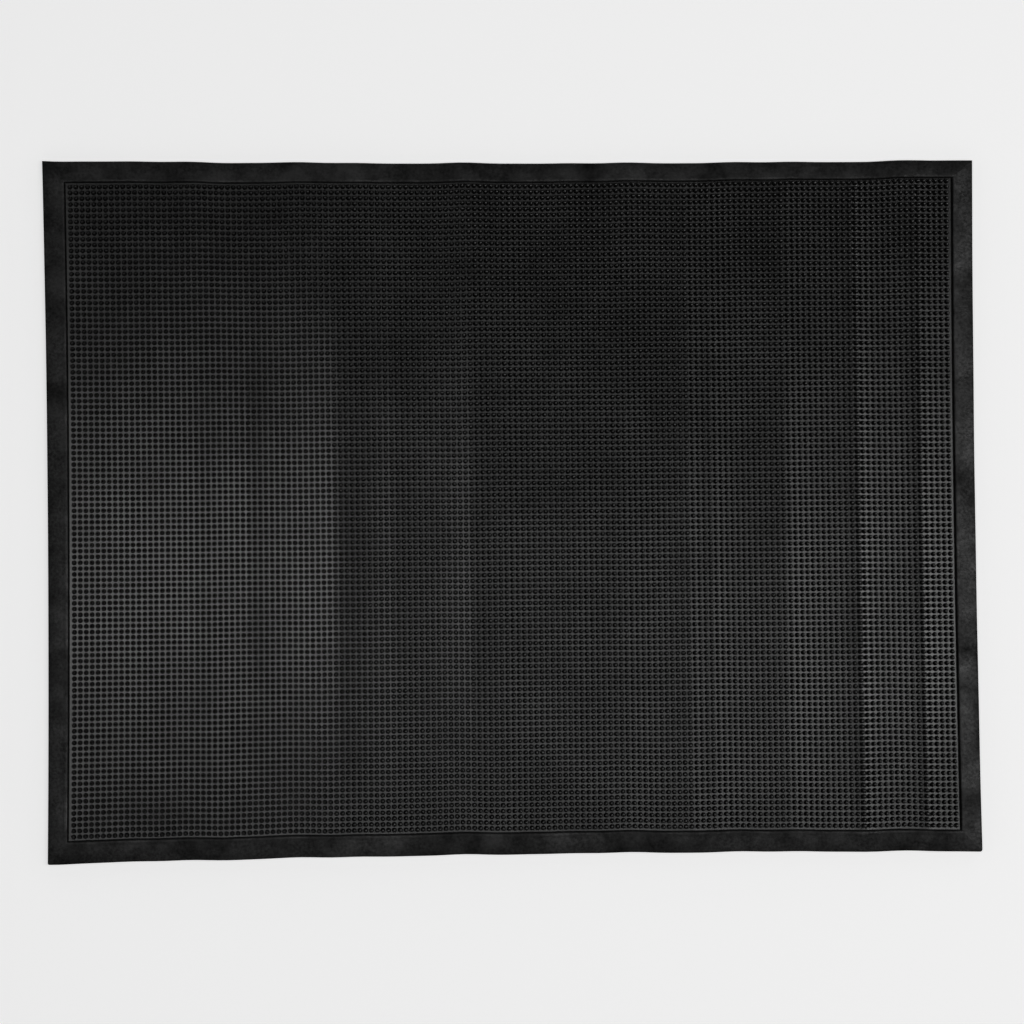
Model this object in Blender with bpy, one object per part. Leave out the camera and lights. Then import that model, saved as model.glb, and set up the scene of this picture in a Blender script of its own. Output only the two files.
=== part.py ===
"""Moulded rubber fingertip door mat: a field of upstanding rubber fingers inside a bevelled border.

The origin is the middle of the underside. X runs along the mat, Y across it and +Z up.
Metres throughout.
"""

from math import pi, sqrt

import bmesh
import bpy

# Overall size
MAT_LENGTH = 0.800
MAT_WIDTH = 0.600
GAP = 0.0003

# Border: a thin outer edge, a ramp up to a narrow flat crest, and a square step down to the field
BORDER_WIDTH = 0.018
EDGE_HEIGHT = 0.004
CREST_HEIGHT = 0.0065
CREST_WIDTH = 0.003

# Field: the backing sheet, the skin on it that the fingers grow from, and the fingers
BACKING_THICKNESS = 0.0030
FLOOR_HEIGHT = 0.0040
TIP_HEIGHT = 0.012
FINGER_ROWS = 113
FINGER_PITCH = 0.00496
FINGER_ROOT_WIDTH = 0.0033
FINGER_TIP_WIDTH = 0.0016
FINGER_SHOULDER_WIDTH = 0.0027
FINGER_SHOULDER_DROP = 0.0008

FIELD_LENGTH = MAT_LENGTH - 2 * BORDER_WIDTH - 2 * GAP
FIELD_WIDTH = MAT_WIDTH - 2 * BORDER_WIDTH - 2 * GAP


def clear_scene():
    for leftover in list(bpy.data.objects):
        bpy.data.objects.remove(leftover, do_unlink=True)


def new_collection(name):
    collection = bpy.data.collections.new(name)
    bpy.context.scene.collection.children.link(collection)
    return collection


def rubber(name, grey, roughness):
    material = bpy.data.materials.new(name)
    material.use_nodes = True
    shader = material.node_tree.nodes["Principled BSDF"]
    shader.inputs["Base Color"].default_value = (grey, grey, grey, 1.0)
    shader.inputs["Roughness"].default_value = roughness
    shader.inputs["Metallic"].default_value = 0.0
    return material


def extruded(name, outline, length):
    """A closed mesh of a flat outline, extruded by half its length to each side of its plane."""
    curve = bpy.data.curves.new(name, "CURVE")
    curve.dimensions = "2D"
    curve.fill_mode = "BOTH"
    curve.extrude = length / 2
    spline = curve.splines.new("POLY")
    spline.points.add(len(outline) - 1)
    for point, (across, up) in zip(spline.points, outline):
        point.co = (across, up, 0.0, 1.0)
    spline.use_cyclic_u = True
    guide = bpy.data.objects.new(name + "_outline", curve)
    bpy.context.scene.collection.objects.link(guide)
    graph = bpy.context.evaluated_depsgraph_get()
    mesh = bpy.data.meshes.new_from_object(guide.evaluated_get(graph))
    bpy.data.objects.remove(guide, do_unlink=True)
    mesh.name = name
    shape = bmesh.new()
    shape.from_mesh(mesh)
    bmesh.ops.remove_doubles(shape, verts=shape.verts, dist=0.00001)
    bmesh.ops.recalc_face_normals(shape, faces=shape.faces)
    shape.to_mesh(mesh)
    shape.free()
    return mesh


def place(name, mesh, collection, material, parent):
    part = bpy.data.objects.new(name, mesh)
    part.data.materials.append(material)
    part.parent = parent
    collection.objects.link(part)
    return part


def box(name, size, centre, collection):
    """A box primitive of the given size, with that size in its mesh and no scale left on it."""
    bpy.ops.mesh.primitive_cube_add(size=1.0)
    block = bpy.context.object
    for holder in list(block.users_collection):
        holder.objects.unlink(block)
    collection.objects.link(block)
    block.name = name
    block.data.name = name
    for vertex in block.data.vertices:
        vertex.co = [c * s for c, s in zip(vertex.co, size)]
    block.location = centre
    return block


def border_outline():
    """The border's section: outer edge at zero, step wall at the border's width."""
    return [
        (0.0, 0.0),
        (BORDER_WIDTH, 0.0),
        (BORDER_WIDTH, CREST_HEIGHT),
        (BORDER_WIDTH - CREST_WIDTH, CREST_HEIGHT),
        (0.0, EDGE_HEIGHT),
    ]


def mitre_cutter(strip_name, strip_length, side, cutters):
    """A box turned by 45 degrees that takes off the strip's end, in the strip's own frame.

    The strip lies along its Z with its outer edge at X zero, so a mitre face leans in by as
    much as it goes across. Half of the gap between two strips comes off each of them.
    """
    reach = 4 * BORDER_WIDTH
    slack = GAP / 2 * sqrt(2)
    centre_offset = reach / 2 / sqrt(2)
    centre = (centre_offset, 0.0, side * (strip_length / 2 - slack + centre_offset))
    cutter = box(f"{strip_name}_mitre_{side:+d}", (reach, reach, reach), centre, cutters)
    cutter.rotation_euler = (0.0, pi / 4, 0.0)
    cutter.hide_render = True
    cutter.display_type = "WIRE"
    return cutter


def border_strip(name, length, turn, parts, cutters, material, parent):
    """One side of the border, mitred at both ends, lying along the given side of the mat."""
    strip = place(name, extruded(name, border_outline(), length), parts, material, parent)
    half_way = MAT_WIDTH / 2 if turn % 2 == 0 else MAT_LENGTH / 2
    stand = bpy.data.objects.new(name + "_stand", None)
    parts.objects.link(stand)
    stand.parent = parent
    stand.rotation_euler = (0.0, 0.0, turn * pi / 2)
    strip.parent = stand
    # The section's "across" becomes inwards, its "up" stays up and its length runs along the side.
    strip.rotation_euler = (pi / 2, 0.0, pi / 2)
    strip.location = (0.0, -half_way, 0.0)
    for side in (-1, 1):
        cutter = mitre_cutter(name, length, side, cutters)
        cutter.parent = strip
        mitre = strip.modifiers.new(f"Mitre {side:+d}", "BOOLEAN")
        mitre.operation = "DIFFERENCE"
        mitre.solver = "EXACT"
        mitre.object = cutter
    return strip


def field_outline():
    """The field's section across the rows: a thin skin with one rib for each row of fingers."""
    skin = BACKING_THICKNESS + GAP
    half_field = FIELD_WIDTH / 2
    shoulder = TIP_HEIGHT - FINGER_SHOULDER_DROP
    outline = [
        (half_field, FLOOR_HEIGHT),
        (half_field, skin),
        (-half_field, skin),
        (-half_field, FLOOR_HEIGHT),
    ]
    for row in range(FINGER_ROWS):
        middle = (row - (FINGER_ROWS - 1) / 2) * FINGER_PITCH
        outline += [
            (middle - FINGER_ROOT_WIDTH / 2, FLOOR_HEIGHT),
            (middle - FINGER_SHOULDER_WIDTH / 2, shoulder),
            (middle - FINGER_TIP_WIDTH / 2, TIP_HEIGHT),
            (middle + FINGER_TIP_WIDTH / 2, TIP_HEIGHT),
            (middle + FINGER_SHOULDER_WIDTH / 2, shoulder),
            (middle + FINGER_ROOT_WIDTH / 2, FLOOR_HEIGHT),
        ]
    return outline


def finger_field(parts, material, parent):
    mesh = extruded("finger_field", field_outline(), FIELD_LENGTH)
    field = place("finger_field", mesh, parts, material, parent)
    field.rotation_euler = (pi / 2, 0.0, pi / 2)
    return field


def backing_sheet(parts, material, parent):
    sheet = box(
        "backing_sheet",
        (FIELD_LENGTH, FIELD_WIDTH, BACKING_THICKNESS),
        (0.0, 0.0, BACKING_THICKNESS / 2),
        parts,
    )
    sheet.data.materials.append(material)
    sheet.parent = parent
    return sheet


def main():
    clear_scene()
    parts = new_collection("door_mat")
    cutters = new_collection("door_mat_cutters")
    mat_frame = bpy.data.objects.new("door_mat_frame", None)
    parts.objects.link(mat_frame)

    border_rubber = rubber("border_rubber", 0.022, 0.55)
    finger_rubber = rubber("finger_rubber", 0.012, 0.42)
    backing_rubber = rubber("backing_rubber", 0.018, 0.65)

    backing_sheet(parts, backing_rubber, mat_frame)
    finger_field(parts, finger_rubber, mat_frame)
    border_strip("border_front", MAT_LENGTH, 0, parts, cutters, border_rubber, mat_frame)
    border_strip("border_right", MAT_WIDTH, 1, parts, cutters, border_rubber, mat_frame)
    border_strip("border_back", MAT_LENGTH, 2, parts, cutters, border_rubber, mat_frame)
    border_strip("border_left", MAT_WIDTH, 3, parts, cutters, border_rubber, mat_frame)


main()
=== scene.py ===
"""Looks of the moulded rubber fingertip door mat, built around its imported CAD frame.

The origin is the middle of the underside. X runs along the mat, Y across it and +Z up. Metres.
The mat is first laid out flat. Every point then goes through settle(), which gives it the ridges
that rolling left in the rubber and the slight inward bow of its four sides.
"""

from math import cos, pi, radians, sin

import bpy
import numpy as np
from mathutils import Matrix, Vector


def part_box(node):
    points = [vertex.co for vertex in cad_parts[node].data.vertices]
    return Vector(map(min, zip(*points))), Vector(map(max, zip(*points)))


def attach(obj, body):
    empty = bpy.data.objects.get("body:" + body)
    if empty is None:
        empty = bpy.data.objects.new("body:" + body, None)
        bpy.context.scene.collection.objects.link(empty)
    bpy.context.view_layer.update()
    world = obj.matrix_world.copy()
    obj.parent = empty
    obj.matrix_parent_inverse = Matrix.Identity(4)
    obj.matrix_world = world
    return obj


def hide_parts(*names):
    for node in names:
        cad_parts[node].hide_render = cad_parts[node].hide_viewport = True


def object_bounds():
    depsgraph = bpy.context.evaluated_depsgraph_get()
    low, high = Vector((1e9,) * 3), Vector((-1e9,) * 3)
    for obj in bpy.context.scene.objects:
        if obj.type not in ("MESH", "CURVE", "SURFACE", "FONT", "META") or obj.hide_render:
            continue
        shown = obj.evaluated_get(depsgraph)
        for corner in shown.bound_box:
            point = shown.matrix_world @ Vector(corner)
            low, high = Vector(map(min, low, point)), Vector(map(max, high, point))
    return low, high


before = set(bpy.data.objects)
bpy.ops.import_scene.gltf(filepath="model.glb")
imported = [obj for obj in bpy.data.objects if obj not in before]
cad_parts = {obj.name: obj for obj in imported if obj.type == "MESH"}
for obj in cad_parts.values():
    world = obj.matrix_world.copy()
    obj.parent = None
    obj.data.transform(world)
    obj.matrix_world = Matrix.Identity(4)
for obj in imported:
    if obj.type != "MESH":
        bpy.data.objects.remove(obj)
cad_low, cad_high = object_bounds()
skin_low, skin_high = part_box("finger_field")
crest_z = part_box("border_front")[1].z
half_length = cad_high.x
half_width = cad_high.y

# Fingers: a lattice of short tapered studs, moulded in one piece with the skin below them. A finger's
# profile is (radius, height above the skin) from its foot up, and it closes at the field's full height
COLUMNS = 154
ROWS = 113
PITCH_X = 0.0049310
PITCH_Y = 0.0049585
FIELD_CENTRE = (0.0002, -0.0005)
SKIN_THICKNESS = 0.0007
FINGER_PROFILE = (
    (0.00216, 0.0),
    (0.00194, 0.0004),
    (0.00150, 0.0056),
    (0.00120, 0.0075),
    (0.00090, 0.00782),
    (0.00062, 0.00793),
)
FINGER_SIDES = 12

# How much single fingers differ, as standard deviations of the slope they lean by and of their height
LEAN = 0.006
HEIGHT_SPREAD = 0.00005

# The field is made in banks, side by side. Places of the rubbers in a bank's list of materials
BANKS = 14
TIP, SIDE, FLOOR = range(3)

# The rows sit further back than even rows would, most of all near the front and back walls, and at
# the front wall more so toward the left
ROWS_BACK = 0.0002
ROWS_BACK_AT_WALLS = 0.0005
ROWS_SKEW_IN_FRONT = 0.00013

# Border: bevelled strips round the field. They end in a step wall, and a groove parts the wall from
# the skin with the fingers. The skin is made too wide and then cut back to the groove
WALL_FRONT_LEFT = (-0.3821, -0.2812)
WALL_FRONT_RIGHT = (0.3817, -0.2821)
WALL_BACK_RIGHT = (0.3827, 0.2810)
WALL_BACK_LEFT = (-0.3818, 0.2819)
GROOVE_LEFT = 0.0011
GROOVE_RIGHT = 0.0015
GROOVE_FRONT = 0.0009
GROOVE_BACK = 0.0009
SKIN_OVERLAP = 0.003
EDGE_HEIGHT = 0.0040
CREST_WIDTH = 0.0034

# The outer edge: how far three of its corners were trimmed inward, the radius that rounds each corner,
# anticlockwise from the front left, and how much the edge wanders
FRONT_LEFT_TRIM = 0.0016
FRONT_RIGHT_TRIM = 0.0008
BACK_RIGHT_TRIM = 0.0043
CORNER_RADII = (0.0015, 0.0022, 0.0006, 0.0006)
EDGE_WANDER = 0.00003

# Ridges left by rolling, as (place along the mat, height, how far they spread, crest rounding)
RIDGES = (
    (0.3520, 0.00045, 0.0110, 0.0025),
    (0.3540, 0.00130, 0.0032, 0.0020),
    (0.2970, 0.00050, 0.0110, 0.0025),
    (0.2995, 0.00150, 0.0034, 0.0020),
    (0.2370, 0.00110, 0.0140, 0.0060),
    (0.1725, 0.00055, 0.0110, 0.0030),
    (0.1520, 0.00105, 0.0120, 0.0030),
    (0.0960, 0.00040, 0.0200, 0.0040),
    (0.0510, 0.00060, 0.0220, 0.0040),
    (-0.0080, 0.00070, 0.0120, 0.0040),
    (-0.0360, 0.00120, 0.0180, 0.0040),
    (-0.1040, 0.00070, 0.0160, 0.0040),
    (-0.1540, 0.00230, 0.0300, 0.0060),
    (-0.2290, 0.00080, 0.0100, 0.0040),
    (-0.2740, 0.00050, 0.0140, 0.0040),
    (-0.3040, 0.00050, 0.0160, 0.0040),
)

# Waves of the rows and of the long edges, as (amplitude, length of one wave along the mat, phase).
# They are weaker in the middle than at the front and back, and slide along the mat on the way there
WOBBLES = (
    (0.00022, 0.131, 0.6),
    (0.00014, 0.076, 2.1),
    (0.00008, 0.047, 4.0),
)
WOBBLE_IN_MIDDLE = 0.4
WOBBLE_GAIN_TO_EDGE = 1.2
WOBBLE_SLIDE = 3.0

# Inward bow of the sides: each place is scaled about a centre, by a factor that grows with the square
# of its distance from there and is 1 at the distance BOW_REACH
BOW = 0.0599
BOW_CENTRE = (0.0486, 0.0332)
BOW_REACH = 0.5

# Along the mat, the tips of the fingers go from dull to shiny between these two places
DULL_TIPS_X = -0.24
SHINY_TIPS_X = -0.06

# Faces that meet at more than this angle keep a sharp edge between them
SHARP_ANGLE = radians(58)

# The middle part of a noise texture's range, where nearly all of its values lie
NOISE_RANGE = (0.35, 0.65)

# Studio: the walls fade into the ceiling between these sines of the angle above the horizon
WALLS_TOP = (0.26, 0.42)
WALLS_LIGHT = 0.7
CEILING_LIGHT = 0.006

floor_z = skin_low.z + SKIN_THICKNESS
finger_height = skin_high.z - floor_z


def settle(points):
    """Moves points of the flat mat to where they are on the real one.

    The fingers tilt with the ridges that they stand on, but not with creases narrower than a cell.
    """
    x, y, z = points[:, 0].copy(), points[:, 1].copy(), points[:, 2].copy()
    height = np.zeros(len(points))
    tilt = np.zeros(len(points))
    for place, rise, spread, rounding in RIDGES:
        away = x - place
        reach = np.sqrt(away**2 + rounding**2)
        bump = rise * np.exp(-reach / spread)
        height += bump
        if spread > PITCH_X:
            tilt -= bump * away / (reach * spread)
    x -= tilt * z
    z += height
    strength = WOBBLE_IN_MIDDLE + WOBBLE_GAIN_TO_EDGE * (y / half_width) ** 2
    for amplitude, wave, phase in WOBBLES:
        slide = WOBBLE_SLIDE * y / half_width
        y += strength * amplitude * np.sin(2 * pi * x / wave + phase + slide)
    away_x, away_y = x - BOW_CENTRE[0], y - BOW_CENTRE[1]
    grow = (1 + BOW * (away_x**2 + away_y**2)) / (1 + BOW * BOW_REACH**2)
    return np.stack((BOW_CENTRE[0] + away_x * grow, BOW_CENTRE[1] + away_y * grow, z), axis=1)


def piece(name, points, face_groups, finishes, materials, slot, *stands_for):
    """A smooth-shaded mesh of the settled points, riding on the mat's one body.

    finishes says which of the materials each group of faces has.
    """
    mesh = bpy.data.meshes.new(name)
    points = settle(np.asarray(points, dtype=float))
    corners = np.concatenate([group.reshape(-1) for group in face_groups])
    sizes = np.concatenate([np.full(len(group), group.shape[1]) for group in face_groups])
    mesh.vertices.add(len(points))
    mesh.vertices.foreach_set("co", points.astype(np.float32).reshape(-1))
    mesh.loops.add(len(corners))
    mesh.loops.foreach_set("vertex_index", corners.astype(np.int32))
    mesh.polygons.add(len(sizes))
    mesh.polygons.foreach_set("loop_start", (np.cumsum(sizes) - sizes).astype(np.int32))
    finish = np.repeat(finishes, [len(group) for group in face_groups])
    mesh.polygons.foreach_set("material_index", finish.astype(np.int32))
    mesh.update(calc_edges=True)
    mesh.validate()
    mesh.shade_smooth()
    mesh.set_sharp_from_angle(angle=SHARP_ANGLE)
    for material in materials:
        mesh.materials.append(material)
    made = bpy.data.objects.new(name, mesh)
    bpy.context.scene.collection.objects.link(made)
    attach(made, "root")
    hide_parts(*stands_for)
    return made


def lattice_lines(count, pitch, centre):
    """Where the cells meet along one direction. The outer two lines reach beyond the groove."""
    lines = centre + (np.arange(count + 1) - count / 2) * pitch
    lines[0] -= SKIN_OVERLAP
    lines[-1] += SKIN_OVERLAP
    return lines


def wall_at(start, end, along, run):
    """How far out a wall stands at places along it. It runs along X if run is 0, along Y if 1."""
    share = (along - start[run]) / (end[run] - start[run])
    return start[1 - run] + (end[1 - run] - start[1 - run]) * share


def laid_in(x, y):
    """Moves points of the even lattice to where the mould has them, inside the groove."""
    toward_back = y / half_width
    skew = ROWS_SKEW_IN_FRONT * x / half_length * (1 - toward_back)
    y = y + ROWS_BACK + toward_back**2 * (ROWS_BACK_AT_WALLS - skew)
    left = wall_at(WALL_FRONT_LEFT, WALL_BACK_LEFT, y, 1) + GROOVE_LEFT
    right = wall_at(WALL_FRONT_RIGHT, WALL_BACK_RIGHT, y, 1) - GROOVE_RIGHT
    front = wall_at(WALL_FRONT_LEFT, WALL_FRONT_RIGHT, x, 0) + GROOVE_FRONT
    back = wall_at(WALL_BACK_LEFT, WALL_BACK_RIGHT, x, 0) - GROOVE_BACK
    return np.clip(x, left, right), np.clip(y, front, back)


class PointStore:
    """The points of one bank, stored array by array."""

    def __init__(self):
        self.arrays = []
        self.count = 0

    def keep(self, x, y, z):
        """Stores one array of points and returns the indices that they get."""
        x, y, z = np.broadcast_arrays(x, y, z)
        x, y = laid_in(x, y)
        self.arrays.append(np.stack((x, y, z), axis=-1).reshape(-1, 3))
        indices = self.count + np.arange(x.size).reshape(x.shape)
        self.count += x.size
        return indices


def skin_points(store, first, last):
    """The points of the skin's cells: corners above, corners below, and two more on each upper side.

    Those two are where lines from the middle of the cell through a finger's corners meet the side.
    """
    lines_x = lattice_lines(COLUMNS, PITCH_X, FIELD_CENTRE[0])[first : last + 1]
    lines_y = lattice_lines(ROWS, PITCH_Y, FIELD_CENTRE[1])
    off_middle = 0.5 * np.tan(pi / FINGER_SIDES)
    shares = (0.5 - off_middle, 0.5 + off_middle)
    corner = store.keep(lines_x[:, None], lines_y[None, :], floor_z)
    under = store.keep(lines_x[:, None], lines_y[None, :], skin_low.z)
    across = [
        store.keep((lines_x[:-1] + share * np.diff(lines_x))[:, None], lines_y[None, :], floor_z)
        for share in shares
    ]
    along = [
        store.keep(lines_x[:, None], (lines_y[:-1] + share * np.diff(lines_y))[None, :], floor_z)
        for share in shares
    ]
    return corner, under, across, along


def cell_rims(corner, across, along):
    """The twelve points round each cell, anticlockwise from its front left corner."""
    return np.stack(
        (
            corner[:-1, :-1],
            across[0][:, :-1],
            across[1][:, :-1],
            corner[1:, :-1],
            along[0][1:, :],
            along[1][1:, :],
            corner[1:, 1:],
            across[1][:, 1:],
            across[0][:, 1:],
            corner[:-1, 1:],
            along[1][:-1, :],
            along[0][:-1, :],
        ),
        axis=-1,
    )


def finger_points(store, first, last, random):
    """The rings of points up each finger, which start at its front left, and the point of its tip."""
    centre_x = FIELD_CENTRE[0] + (np.arange(first, last) - (COLUMNS - 1) / 2) * PITCH_X
    centre_y = FIELD_CENTRE[1] + (np.arange(ROWS) - (ROWS - 1) / 2) * PITCH_Y
    each = (last - first, ROWS, 1)
    lean_x = random.normal(0.0, LEAN, each)
    lean_y = random.normal(0.0, LEAN, each)
    tallness = 1 + random.normal(0.0, HEIGHT_SPREAD / finger_height, each)
    angles = -0.75 * pi + np.arange(FINGER_SIDES) * 2 * pi / FINGER_SIDES
    rings = []
    for radius, rise in FINGER_PROFILE:
        up = rise * tallness
        x = centre_x[:, None, None] + radius * np.cos(angles) + lean_x * up
        y = centre_y[None, :, None] + radius * np.sin(angles) + lean_y * up
        rings.append(store.keep(x, y, floor_z + up))
    up = finger_height * tallness[:, :, 0]
    tip = store.keep(
        centre_x[:, None] + lean_x[:, :, 0] * up,
        centre_y[None, :] + lean_y[:, :, 0] * up,
        floor_z + up,
    )
    return rings, tip


def cut_faces(under, corner, first, second):
    """The faces down one cut side of a bank: each cell's lower corners, then the points above them."""
    return np.stack((under[:-1], under[1:], corner[1:], second, first, corner[:-1]), axis=-1)


def finger_bank(number, first, last, materials, random):
    """Columns first to last of the field: one closed skin, its fingers drawn up out of its floor."""
    store = PointStore()
    corner, under, across, along = skin_points(store, first, last)
    rings, tip = finger_points(store, first, last, random)
    rings.insert(0, cell_rims(corner, across, along))
    top = rings[-1]
    quads = [
        np.stack((low, np.roll(low, -1, -1), np.roll(high, -1, -1), high), axis=-1).reshape(-1, 4)
        for low, high in zip(rings, rings[1:])
    ]
    fans = np.stack((top, np.roll(top, -1, -1), np.broadcast_to(tip[..., None], top.shape)), axis=-1)
    base = np.stack((under[:-1, :-1], under[:-1, 1:], under[1:, 1:], under[1:, :-1]), axis=-1)
    left, right = across
    front, back = along
    cuts = [
        cut_faces(under[:, 0], corner[:, 0], left[:, 0], right[:, 0]),
        cut_faces(under[::-1, -1], corner[::-1, -1], right[::-1, -1], left[::-1, -1]),
        cut_faces(under[-1], corner[-1], front[-1], back[-1]),
        cut_faces(under[0, ::-1], corner[0, ::-1], back[0, ::-1], front[0, ::-1]),
    ]
    faces = quads + [fans.reshape(-1, 3), base.reshape(-1, 4)] + cuts
    finishes = [FLOOR] + [SIDE] * (len(quads) - 2) + [TIP, TIP, FLOOR] + [FLOOR] * len(cuts)
    name = f"finger_bank_{number:02d}"
    points = np.concatenate(store.arrays)
    return piece(name, points, faces, finishes, materials, "finger_rubber", "finger_field")


def border_section(width):
    """A strip's closed section at the given width, as (share of the way in, height) pairs.

    It goes up the rounded outer edge, along a ramp that swells a little, over the crest, and down
    the step wall.
    """
    ramp_steps = 8
    ramp_swell = 0.05
    ramp_foot = (0.0006, EDGE_HEIGHT)
    ramp_head = (width - CREST_WIDTH, crest_z - 0.0003)
    section = [
        (0.0004, 0.0),
        (0.0, 0.0004),
        (0.0, EDGE_HEIGHT - 0.0007),
        (0.0002, EDGE_HEIGHT - 0.0002),
    ]
    for step in range(ramp_steps + 1):
        share = step / ramp_steps
        raised = share + ramp_swell * sin(pi * share)
        inward = ramp_foot[0] + (ramp_head[0] - ramp_foot[0]) * share
        section.append((inward, ramp_foot[1] + (ramp_head[1] - ramp_foot[1]) * raised))
    section += [
        (width - 0.0026, crest_z - 0.00005),
        (width - 0.0012, crest_z),
        (width - 0.0004, crest_z - 0.0001),
        (width - 0.0001, crest_z - 0.0005),
        (width, crest_z - 0.0012),
        (width + 0.0002, floor_z - 0.0006),
        (width + 0.0002, 0.0),
    ]
    return [(inward / width, up) for inward, up in section]


def edge_stations(length, start_radius, end_radius, random):
    """Places along an outer edge, as (distance from its start corner, distance inward).

    Both corners are rounded, each half by this edge and half by the next. In between, the edge
    wanders, and fades into the roundings.
    """
    corner_steps = 4
    steps = 90
    fade_steps = 8
    stations = []
    for step in range(corner_steps + 1):
        turn = radians(45 * (1 - step / corner_steps))
        stations.append((start_radius * (1 - sin(turn)), start_radius * (1 - cos(turn))))
    waves = [(random.uniform(1.0, 5.0), random.uniform(0, 2 * pi)) for _ in range(3)]
    for step in range(1, steps):
        at = start_radius + (length - start_radius - end_radius) * step / steps
        fade = min(1.0, step / fade_steps, (steps - step) / fade_steps)
        wander = sum(sin(2 * pi * turns * step / steps + phase) for turns, phase in waves)
        stations.append((at, EDGE_WANDER * fade * (wander + 2)))
    for step in range(corner_steps + 1):
        turn = radians(45 * step / corner_steps)
        stations.append((length - end_radius * (1 - sin(turn)), end_radius * (1 - cos(turn))))
    return stations


def border_strip(name, start, end, material, random):
    """One side of the border, from its start corner to its end corner, with the field on its left.

    Each corner is its outer point, its inner point and the radius that rounds it.
    """
    outer_start, inner_start = np.array(start[0]), np.array(start[1])
    outer_end, inner_end = np.array(end[0]), np.array(end[1])
    run = outer_end - outer_start
    length = np.hypot(*run)
    ahead = run / length
    inwards = np.array((-ahead[1], ahead[0]))
    stations = edge_stations(length, start[2], end[2], random)

    points = []
    first_at, last_at = stations[0][0], stations[-1][0]
    for at, inset in stations:
        share = (at - first_at) / (last_at - first_at)
        edge = outer_start + ahead * at + inwards * inset
        foot = inner_start + (inner_end - inner_start) * share
        width = np.dot(foot - edge, inwards)
        for across, up in border_section(width):
            x, y = edge + (foot - edge) * across
            points.append((x, y, up))
    around = len(points) // len(stations)
    index = np.arange(len(points)).reshape(len(stations), around)
    low, high = index[:-1], index[1:]
    skin = np.stack((low, high, np.roll(high, -1, 1), np.roll(low, -1, 1)), axis=-1).reshape(-1, 4)
    caps = np.stack((index[0], index[-1][::-1]))
    return piece(name, points, [skin, caps], [0, 0], [material], "border_rubber", name)


def border(material, random):
    """The four strips. Each corner is its trimmed outer point, a corner of the wall, and a radius."""
    outer_points = (
        (-half_length + FRONT_LEFT_TRIM, -half_width),
        (half_length - FRONT_RIGHT_TRIM, -half_width),
        (half_length, half_width - BACK_RIGHT_TRIM),
        (-half_length, half_width),
    )
    inner_points = (WALL_FRONT_LEFT, WALL_FRONT_RIGHT, WALL_BACK_RIGHT, WALL_BACK_LEFT)
    corners = list(zip(outer_points, inner_points, CORNER_RADII))
    names = ("border_front", "border_right", "border_back", "border_left")
    for name, start, end in zip(names, corners, corners[1:] + corners[:1]):
        border_strip(name, start, end, material, random)


def backing(material):
    """The sheet under the field: a closed slab, divided along the mat so that it follows the ridges."""
    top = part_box("backing_sheet")[1].z
    steps = 240
    front_edge = np.linspace(WALL_FRONT_LEFT, WALL_FRONT_RIGHT, steps + 1)
    back_edge = np.linspace(WALL_BACK_LEFT, WALL_BACK_RIGHT, steps + 1)
    points = []
    for front, back in zip(front_edge, back_edge):
        points += [(*front, 0.0), (*back, 0.0), (*back, top), (*front, top)]
    index = np.arange(len(points)).reshape(steps + 1, 4)
    low, high = index[:-1], index[1:]
    skin = np.stack((low, np.roll(low, -1, 1), np.roll(high, -1, 1), high), axis=-1).reshape(-1, 4)
    caps = np.stack((index[0][::-1], index[-1]))
    return piece("backing", points, [skin, caps], [0, 0], [material], "backing_rubber", "backing_sheet")


def node(tree, kind, place, **settings):
    """A shader node, with settings given by attribute name or, for an input, by its label."""
    made = tree.nodes.new(kind)
    made.location = place
    for key, value in settings.items():
        if hasattr(made, key):
            setattr(made, key, value)
        else:
            made.inputs[key.replace("_", " ")].default_value = value
    return made


def grey(value):
    """An opaque grey, from 0 for black to 1 for white."""
    return (value, value, value, 1.0)


def new_material(name, roughness, specular):
    """A material, its node tree and its shader, for the caller to add to.

    The gloss given is what the export keeps of a specular level that the caller then varies.
    """
    material = bpy.data.materials.new(name)
    material.use_nodes = True
    shader = material.node_tree.nodes["Principled BSDF"]
    shader.inputs["Roughness"].default_value = roughness
    shader.inputs["Specular IOR Level"].default_value = specular
    return material, material.node_tree, shader


def stretched(tree, value, source, target, place, **settings):
    """A value taken from its source range to a target range."""
    stretch = node(tree, "ShaderNodeMapRange", place, **settings)
    labels = ("From Min", "From Max", "To Min", "To Max")
    for label, bound in zip(labels, (*source, *target)):
        stretch.inputs[label].default_value = bound
    tree.links.new(value, stretch.inputs["Value"])
    return stretch.outputs["Result"]


def product(tree, first, second, place):
    """Two values multiplied."""
    times = node(tree, "ShaderNodeMath", place, operation="MULTIPLY")
    tree.links.new(first, times.inputs[0])
    tree.links.new(second, times.inputs[1])
    return times.outputs["Value"]


def mottled(tree, coordinates, scale, detail, low, high, place):
    """Noise between two values, for patchy rubber."""
    noise = node(tree, "ShaderNodeTexNoise", place, Scale=scale, Detail=detail, Roughness=0.6)
    tree.links.new(coordinates.outputs["Object"], noise.inputs["Vector"])
    beside = (place[0] + 200, place[1])
    return stretched(tree, noise.outputs["Fac"], NOISE_RANGE, (low, high), beside)


def split_place(tree, coordinates, place):
    """The X, Y and Z of a point of the mat, as separate values."""
    parts = node(tree, "ShaderNodeSeparateXYZ", place)
    tree.links.new(coordinates.outputs["Object"], parts.inputs["Vector"])
    return parts.outputs


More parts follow.
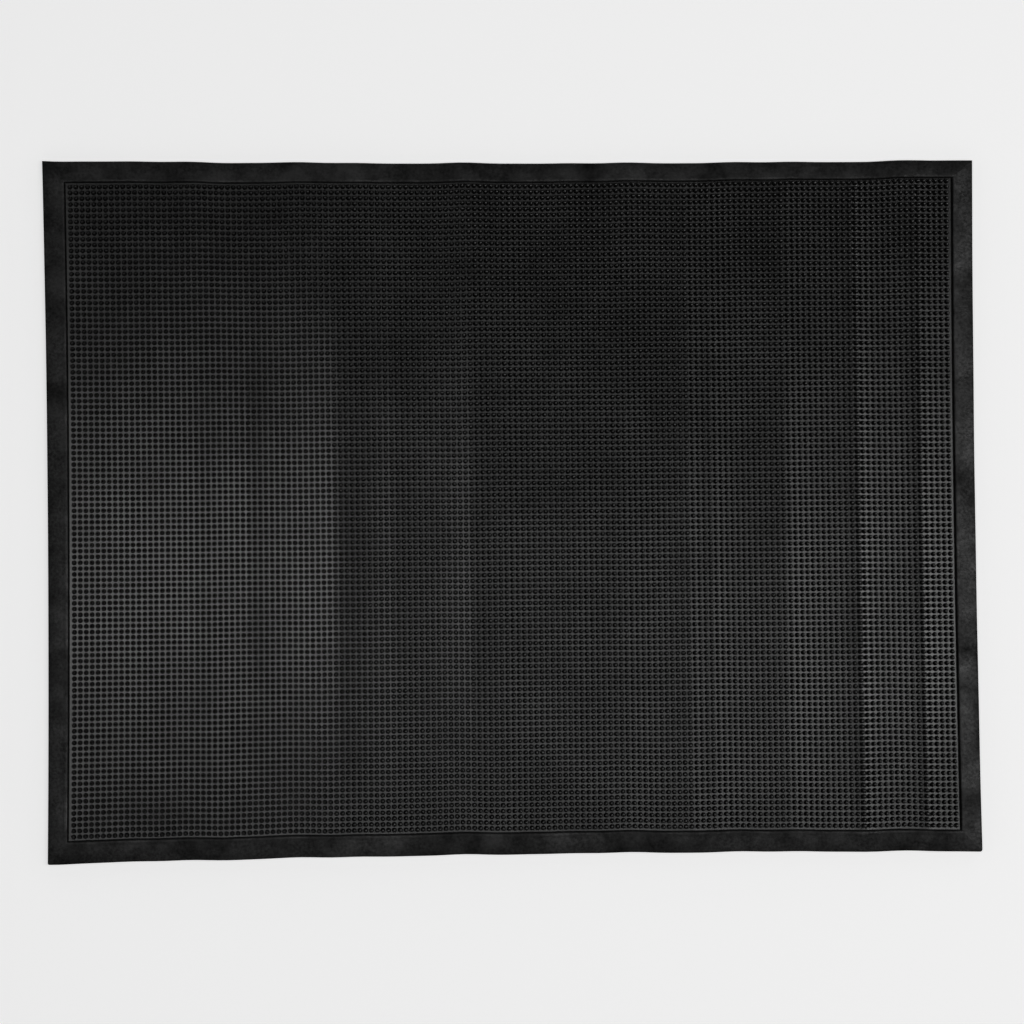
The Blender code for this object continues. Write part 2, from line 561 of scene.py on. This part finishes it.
def tip_rubber():
    """The rounded ends of the fingers, shiny from rubbing, but less so toward the left end of the mat.
    """
    material, tree, shader = new_material("tip_rubber_black", 0.27, 0.85)
    coordinates = node(tree, "ShaderNodeTexCoord", (-900, 0))
    tone = mottled(tree, coordinates, 60.0, 3.0, 0.006, 0.010, (-700, 0))
    along = split_place(tree, coordinates, (-700, -300))["X"]
    crest_highlight_and_tip_gloss = stretched(tree, along, (DULL_TIPS_X, SHINY_TIPS_X), (0.35, 1.0), (-500, -300))
    tree.links.new(tone, shader.inputs["Base Color"])
    tree.links.new(crest_highlight_and_tip_gloss, shader.inputs["Specular IOR Level"])
    return material


def finger_rubber():
    """The dull sides of the fingers, with no gloss at all."""
    material, tree, shader = new_material("finger_rubber_black", 0.55, 0.0)
    coordinates = node(tree, "ShaderNodeTexCoord", (-900, 0))
    tone = mottled(tree, coordinates, 60.0, 3.0, 0.018, 0.026, (-700, 0))
    tree.links.new(tone, shader.inputs["Base Color"])
    return material


def floor_rubber():
    """The skin between the fingers: dull rubber under a smoother film, and worn in patches."""
    material, tree, shader = new_material("floor_rubber_black", 0.46, 0.5)
    shader.inputs["Coat Weight"].default_value = 1.0
    shader.inputs["Coat Roughness"].default_value = 0.25
    coordinates = node(tree, "ShaderNodeTexCoord", (-900, 0))
    tone = mottled(tree, coordinates, 60.0, 3.0, 0.024, 0.036, (-700, 0))
    worn = mottled(tree, coordinates, 11.0, 3.0, 0.25, 0.75, (-700, -300))
    tree.links.new(tone, shader.inputs["Base Color"])
    tree.links.new(worn, shader.inputs["Specular IOR Level"])
    return material


def uneven(tree, coordinates, scale, detail, depth, place):
    """A bump node over noise, for hollows and swellings of about the given depth."""
    noise = node(tree, "ShaderNodeTexNoise", place, Scale=scale, Detail=detail, Roughness=0.6)
    bump = node(tree, "ShaderNodeBump", (place[0] + 200, place[1]), Strength=1.0, Distance=depth)
    tree.links.new(coordinates.outputs["Object"], noise.inputs["Vector"])
    tree.links.new(noise.outputs["Fac"], bump.inputs["Height"])
    return bump


def border_rubber():
    """Scuffed rim rubber: greasy and dusty patches and a fine grain, with its colour made paler toward
    the crest as a painted highlight.
    """
    material, tree, shader = new_material("border_rubber_black", 0.42, 0.3)
    coordinates = node(tree, "ShaderNodeTexCoord", (-1100, 0))
    height = split_place(tree, coordinates, (-900, 500))["Z"]
    # Painted highlight: the colour grows paler with height, up to the crest
    crest_highlight_and_tip_gloss = stretched(tree, height, (EDGE_HEIGHT, crest_z), (0.8, 1.6), (-700, 500))
    dust = mottled(tree, coordinates, 50.0, 8.0, 0.010, 0.036, (-900, 300))
    patches = mottled(tree, coordinates, 26.0, 5.0, 0.14, 0.60, (-900, 100))
    speckle = mottled(tree, coordinates, 400.0, 6.0, 0.50, 1.50, (-900, -100))
    roughness = mottled(tree, coordinates, 38.0, 8.0, 0.34, 0.52, (-900, -300))
    # Colour: dusty patches times the painted highlight toward the crest
    tone = product(tree, dust, crest_highlight_and_tip_gloss, (-400, 300))
    shine = product(tree, patches, speckle, (-400, 0))
    waves = uneven(tree, coordinates, 24.0, 3.0, 0.0015, (-900, -500))
    grain = uneven(tree, coordinates, 420.0, 5.0, 0.0003, (-600, -700))
    tree.links.new(waves.outputs["Normal"], grain.inputs["Normal"])
    tree.links.new(tone, shader.inputs["Base Color"])
    tree.links.new(roughness, shader.inputs["Roughness"])
    tree.links.new(shine, shader.inputs["Specular IOR Level"])
    tree.links.new(grain.outputs["Normal"], shader.inputs["Normal"])
    return material


def backing_rubber():
    """Plain dull rubber, darker than the rest as painted shade in the groove. It shows only in the
    groove round the field and on the underside.
    """
    material, tree, shader = new_material("backing_rubber_black", 0.65, 0.2)
    coordinates = node(tree, "ShaderNodeTexCoord", (-900, 0))
    # Darker than the other rubbers: painted shade for the groove round the field
    tone = mottled(tree, coordinates, 30.0, 4.0, 0.004, 0.009, (-700, 0))
    tree.links.new(tone, shader.inputs["Base Color"])
    return material


def pale_floor():
    """A plain white floor, a little luminous, so that the mat throws no shadow worth seeing.

    It lies just clear of the mat's underside.
    """
    material, tree, shader = new_material("studio_white", 0.9, 0.1)
    shader.inputs["Base Color"].default_value = grey(0.92)
    shader.inputs["Emission Color"].default_value = grey(1.0)
    shader.inputs["Emission Strength"].default_value = 0.6
    mesh = bpy.data.meshes.new("studio_floor")
    reach = 12.0
    gap = 0.0005
    corners = [(-reach, -reach, 0.0), (reach, -reach, 0.0), (reach, reach, 0.0), (-reach, reach, 0.0)]
    mesh.from_pydata(corners, [], [(0, 1, 2, 3)])
    mesh.materials.append(material)
    floor = bpy.data.objects.new("studio_floor", mesh)
    floor.location.z = -gap
    bpy.context.scene.collection.objects.link(floor)


def softbox(name, place, target, size, power):
    """A rectangular lamp at a place, turned to face a target."""
    lamp = bpy.data.lights.new(name, "AREA")
    lamp.shape = "RECTANGLE"
    lamp.size, lamp.size_y = size
    lamp.energy = power
    made = bpy.data.objects.new(name, lamp)
    bpy.context.scene.collection.objects.link(made)
    made.location = place
    direction = Vector(target) - Vector(place)
    made.rotation_euler = direction.to_track_quat("-Z", "Y").to_euler()


def room():
    """Pale walls all round, up to about a quarter of the way to the zenith, under a dark ceiling."""
    world = bpy.data.worlds.new("studio_room")
    world.use_nodes = True
    tree = world.node_tree
    direction = node(tree, "ShaderNodeTexCoord", (-800, 0))
    parts = node(tree, "ShaderNodeSeparateXYZ", (-600, 0))
    tree.links.new(direction.outputs["Generated"], parts.inputs["Vector"])
    light = stretched(
        tree,
        parts.outputs["Z"],
        WALLS_TOP,
        (WALLS_LIGHT, CEILING_LIGHT),
        (-400, 0),
        interpolation_type="SMOOTHSTEP",
    )
    tree.links.new(light, tree.nodes["Background"].inputs["Color"])
    bpy.context.scene.world = world


def studio():
    """Soft lamps to both sides and overhead, in a plain room."""
    softbox("softbox_right", (1.36, -0.10, 2.3), (0.6, 0.0, 0.0), (0.4, 1.4), 9.3)
    softbox("softbox_left", (-0.90, -0.25, 2.3), (-0.5, -0.1, 0.0), (0.35, 0.5), 1.2)
    softbox("overhead_left", (-0.40, 0.00, 2.3), (-0.3, 0.0, 0.0), (0.28, 0.28), 1.9)
    softbox("overhead_middle", (-0.08, -0.22, 2.3), (0.0, 0.0, 0.0), (0.35, 0.35), 0.50)
    softbox("overhead_right", (0.48, -0.20, 2.3), (0.3, 0.0, 0.0), (0.50, 0.45), 1.15)
    room()
    bpy.context.scene.view_settings.view_transform = "Standard"


def camera():
    """Nearly straight overhead and slightly off centre, as for a catalogue picture."""
    lens = bpy.data.cameras.new("camera")
    lens.lens = 164.25
    lens.sensor_width = 36.0
    made = bpy.data.objects.new("camera", lens)
    made.location = (-0.1219, -0.1615, 4.0)
    made.rotation_euler = (radians(2.264), radians(-1.705), radians(-0.633))
    bpy.context.scene.collection.objects.link(made)
    bpy.context.scene.camera = made


def main():
    """Builds the mat and then the studio round it."""
    random = np.random.default_rng(7)
    finger_materials = [tip_rubber(), finger_rubber(), floor_rubber()]
    border_material = border_rubber()
    per_bank = COLUMNS // BANKS
    for bank in range(BANKS):
        finger_bank(bank + 1, bank * per_bank, (bank + 1) * per_bank, finger_materials, random)
    backing(backing_rubber())
    border(border_material, random)
    pale_floor()
    studio()
    camera()


main()
